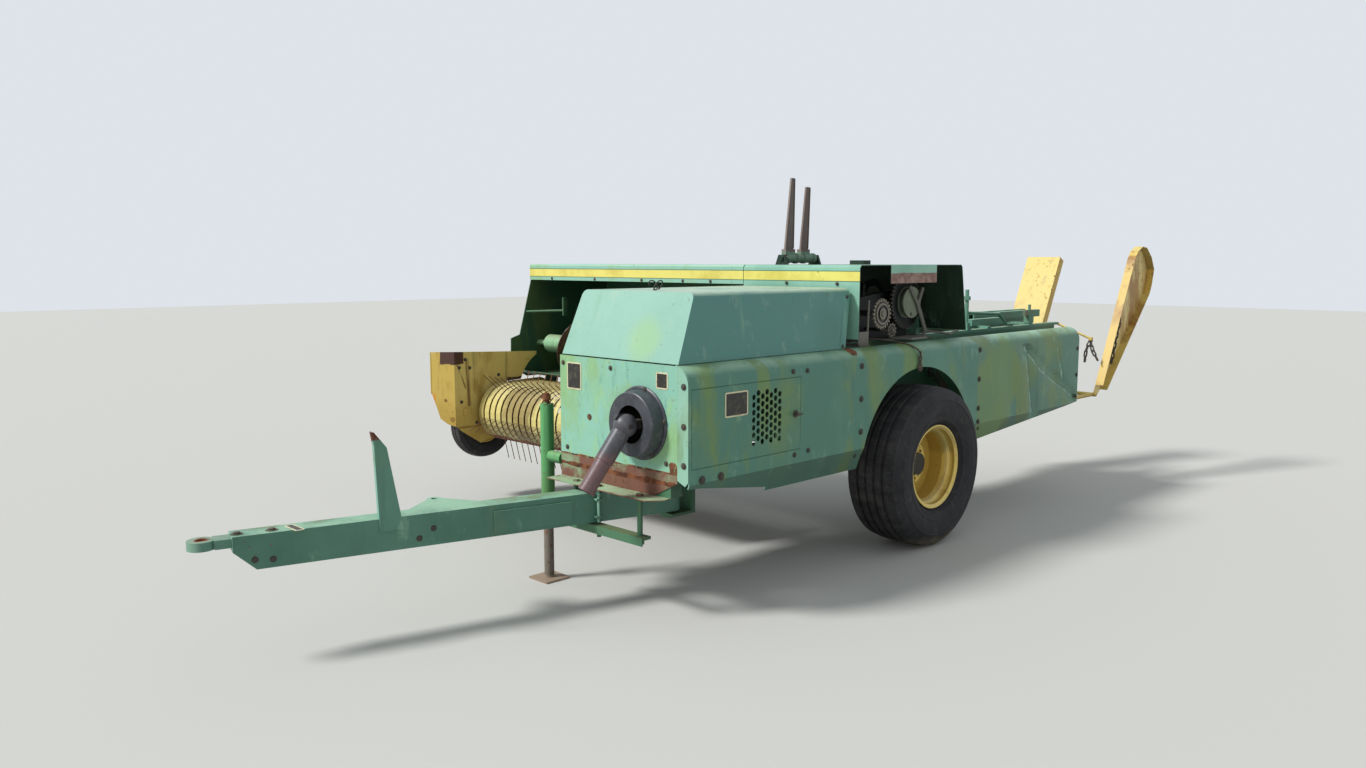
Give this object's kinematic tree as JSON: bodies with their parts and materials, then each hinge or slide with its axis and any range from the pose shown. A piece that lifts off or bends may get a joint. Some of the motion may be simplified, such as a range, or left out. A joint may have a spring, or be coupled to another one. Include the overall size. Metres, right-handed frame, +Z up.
{
  "type": "square baler",
  "caption": "Towed small-square hay baler with side pickup, flywheel hood, bale chamber, knotters and folded bale chute, parked on its wheels and jack.",
  "frame": {"origin": "middle of the machine's outline on the ground", "axes": "+X ahead towards the hitch, +Y to the machine's left, +Z up"},
  "size_m": [5.916, 2.6575, 1.827],
  "materials": {
    "faded_green": "faded, blotched, satin",
    "dark_green": "satin, dusty",
    "jack_green": "satin",
    "rusty_apron": "rusted through the paint, matt",
    "grey_iron": "weathered, matt",
    "shield_plastic": "matt, sun bleached",
    "auger_steel": "worn paint and rust",
    "yellow_paint": "faded, rusty edges",
    "tyre_rubber": "dusty, matt"
  },
  "bodies": {
    "chassis": {"tongue_bracket": "faded_green", "main_frame": "dark_green", "axle_beam": "dark_green", "gearbox": "grey_iron", "jack_tube": "jack_green", "jack_leg": "grey_iron", "front_face": "faded_green", "front_apron": "rusty_apron", "driveline_bell": "shield_plastic", "drive_yoke": "grey_iron", "side_shield_front": "faded_green", "side_shield_arch": "faded_green", "side_shield_rear": "faded_green", "right_side_panel": "faded_green", "chamber_floor": "dark_green", "chamber_left_wall": "dark_green", "chamber_right_wall": "dark_green", "chamber_top": "faded_green", "twine_box": "faded_green", "knotter_cover": "dark_green", "knotter_frame": "grey_iron", "feeder_hood": "faded_green", "feeder_back_wall": "dark_green", "feeder_floor": "dark_green", "feeder_end_panel": "faded_green", "chute_carrier": "yellow_paint", "chain_bracket": "yellow_paint", "tension_rails": "dark_green"},
    "tongue": {"tongue_beam": "faded_green", "hitch_eye": "faded_green", "tongue_stand": "faded_green"},
    "driveline": {"driveline_tube": "shield_plastic"},
    "door": {"side_door": "faded_green"},
    "hood": {"flywheel_hood": "faded_green"},
    "knotters": {"knotter_shaft": "grey_iron"},
    "sprocket": {"drive_sprocket": "grey_iron"},
    "needles": {"needle_yoke": "grey_iron"},
    "auger_screw": {"auger": "auger_steel"},
    "fork": {"feeder_fork": "grey_iron"},
    "pickup": {"pickup_frame": "yellow_paint", "pickup_flare": "yellow_paint", "pickup_bands": "yellow_paint"},
    "reel": {"pickup_reel": "grey_iron"},
    "gauge_wheel": {"gauge_tyre": "tyre_rubber", "gauge_rim": "yellow_paint"},
    "left_wheel": {"left_tyre": "tyre_rubber", "left_rim": "yellow_paint", "left_hub": "grey_iron"},
    "right_wheel": {"right_tyre": "tyre_rubber", "right_rim": "yellow_paint", "right_hub": "grey_iron"},
    "chute": {"chute_floor_pan": "yellow_paint", "chute_side_pan": "yellow_paint", "pan_chain": "yellow_paint"}
  },
  "joints": [
    {"name": "tongue_swing", "type": "hinge", "parent": "chassis", "child": "tongue", "pos_m": [1.124, 0.782, 0.4], "axis": [0, 0, 1], "range_deg": [0, 32]},
    {"name": "driveline_raise", "type": "hinge", "parent": "chassis", "child": "driveline", "pos_m": [1.534, 0.964, 0.775], "axis": [-0.2521, -0.9677, 0], "range_deg": [0, 60]},
    {"name": "door_swing", "type": "hinge", "parent": "chassis", "child": "door", "pos_m": [1.424, 1.224, 0.773], "axis": [0, 0, -1], "range_deg": [0, 95]},
    {"name": "hood_lift", "type": "hinge", "parent": "chassis", "child": "hood", "pos_m": [0.894, 0.44, 1.016], "axis": [1, 0, 0], "range_deg": [0, 80]},
    {"name": "knotter_turn", "type": "hinge", "parent": "chassis", "child": "knotters", "pos_m": [-0.416, 0.726, 1.2], "axis": [0, 1, 0], "continuous": true},
    {"name": "sprocket_turn", "type": "hinge", "parent": "chassis", "child": "sprocket", "pos_m": [-0.051, 1.066, 1.156], "axis": [0, 1, 0], "continuous": true},
    {"name": "needle_swing", "type": "hinge", "parent": "chassis", "child": "needles", "pos_m": [-0.704, 0.696, 0.8225], "axis": [0, -1, 0], "range_deg": [0, 100]},
    {"name": "auger_turn", "type": "hinge", "parent": "chassis", "child": "auger_screw", "pos_m": [0.244, -0.374, 0.905], "axis": [0, 1, 0], "continuous": true},
    {"name": "fork_swing", "type": "hinge", "parent": "chassis", "child": "fork", "pos_m": [-0.013, 0.576, 1.425], "axis": [1, 0, 0], "range_deg": [-12, 12]},
    {"name": "pickup_lower", "type": "hinge", "parent": "chassis", "child": "pickup", "pos_m": [0.264, -0.374, 0.64], "axis": [0, 1, 0], "range_deg": [0, 38]},
    {"name": "reel_turn", "type": "hinge", "parent": "pickup", "child": "reel", "pos_m": [0.644, -0.374, 0.53], "axis": [0, 1, 0], "continuous": true},
    {"name": "gauge_wheel_turn", "type": "hinge", "parent": "pickup", "child": "gauge_wheel", "pos_m": [0.694, -1.274, 0.44], "axis": [0, 1, 0], "continuous": true},
    {"name": "left_wheel_turn", "type": "hinge", "parent": "chassis", "child": "left_wheel", "pos_m": [-0.256, 1.159, 0.4], "axis": [0, 1, 0], "continuous": true},
    {"name": "right_wheel_turn", "type": "hinge", "parent": "chassis", "child": "right_wheel", "pos_m": [-0.256, -1.104, 0.35], "axis": [0, 1, 0], "continuous": true},
    {"name": "chute_lower", "type": "hinge", "parent": "chassis", "child": "chute", "pos_m": [-2.216, 0.826, 0.575], "axis": [0, -1, 0], "range_deg": [0, 63]}
  ]
}
